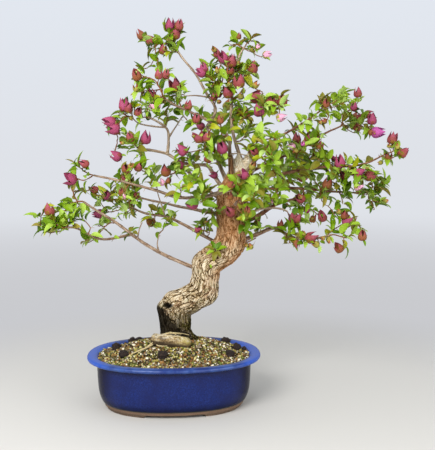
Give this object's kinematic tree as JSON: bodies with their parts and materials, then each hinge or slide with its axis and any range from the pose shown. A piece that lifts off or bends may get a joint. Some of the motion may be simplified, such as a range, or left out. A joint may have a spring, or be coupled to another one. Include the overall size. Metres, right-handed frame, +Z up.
{
  "type": "bougainvillea bonsai in an oval pot",
  "caption": "Potted bougainvillea bonsai: an S-curved trunk with a sawn top, spreading boughs, small pads of leaves with pink bracts, and an oval blue-glazed pot of grit.",
  "frame": {"origin": "middle of the base of the whole object's box, on the surface that the pot stands on", "axes": "+Z up, +X to the viewer's right along the pot's long side, -Y towards the viewer of the pictured front"},
  "size_m": [0.737, 0.3922, 0.7779],
  "materials": {
    "trunk_bark": "matte",
    "bough_bark": "matte",
    "dead_wood": "matte",
    "root_skin": "matte",
    "leaves": "satin",
    "glaze": "gloss",
    "grit": "matte"
  },
  "bodies": {
    "root": {"arch_foot": "bough_bark", "arch_riser": "bough_bark", "arch_strut": "bough_bark", "arch_top": "bough_bark", "leader_low": "bough_bark", "leader_top": "bough_bark", "leaves_back_centre": "leaves", "leaves_back_left": "leaves", "leaves_back_right": "leaves", "leaves_centre": "leaves", "leaves_centre_right": "leaves", "leaves_centre_top": "leaves", "leaves_far_left": "leaves", "leaves_far_right": "leaves", "leaves_front_left": "leaves", "leaves_front_right": "leaves", "leaves_left_crown": "leaves", "leaves_left_inner": "leaves", "leaves_left_middle": "leaves", "leaves_left_shoulder": "leaves", "leaves_left_skirt": "leaves", "leaves_left_tip": "leaves", "leaves_left_upper": "leaves", "leaves_left_upper_tip": "leaves", "leaves_lowest_right": "leaves", "leaves_right_crown": "leaves", "leaves_right_heart": "leaves", "leaves_right_low": "leaves", "leaves_right_middle": "leaves", "leaves_right_shoulder": "leaves", "leaves_right_skirt": "leaves", "leaves_right_tip": "leaves", "leaves_right_upper": "leaves", "leaves_top": "leaves", "leaves_top_left": "leaves", "leaves_top_right_tip": "leaves", "leaves_upper_left": "leaves", "limb_back_centre": "bough_bark", "limb_back_left": "bough_bark", "limb_back_right": "bough_bark", "limb_centre": "bough_bark", "limb_crown_right": "bough_bark", "limb_far_right": "bough_bark", "limb_front": "bough_bark", "limb_front_right": "bough_bark", "limb_left_high": "bough_bark", "limb_left_low": "bough_bark", "limb_left_middle": "bough_bark", "limb_right_low": "bough_bark", "limb_right_lowest": "bough_bark", "limb_right_middle": "bough_bark", "limb_right_second": "bough_bark", "limb_right_upper": "bough_bark", "limb_upper_left": "bough_bark", "peeled_stub": "dead_wood", "pot": "glaze", "shoot_left_low": "bough_bark", "soil": "grit", "surface_root": "root_skin", "trunk": "trunk_bark"}
  },
  "joints": []
}
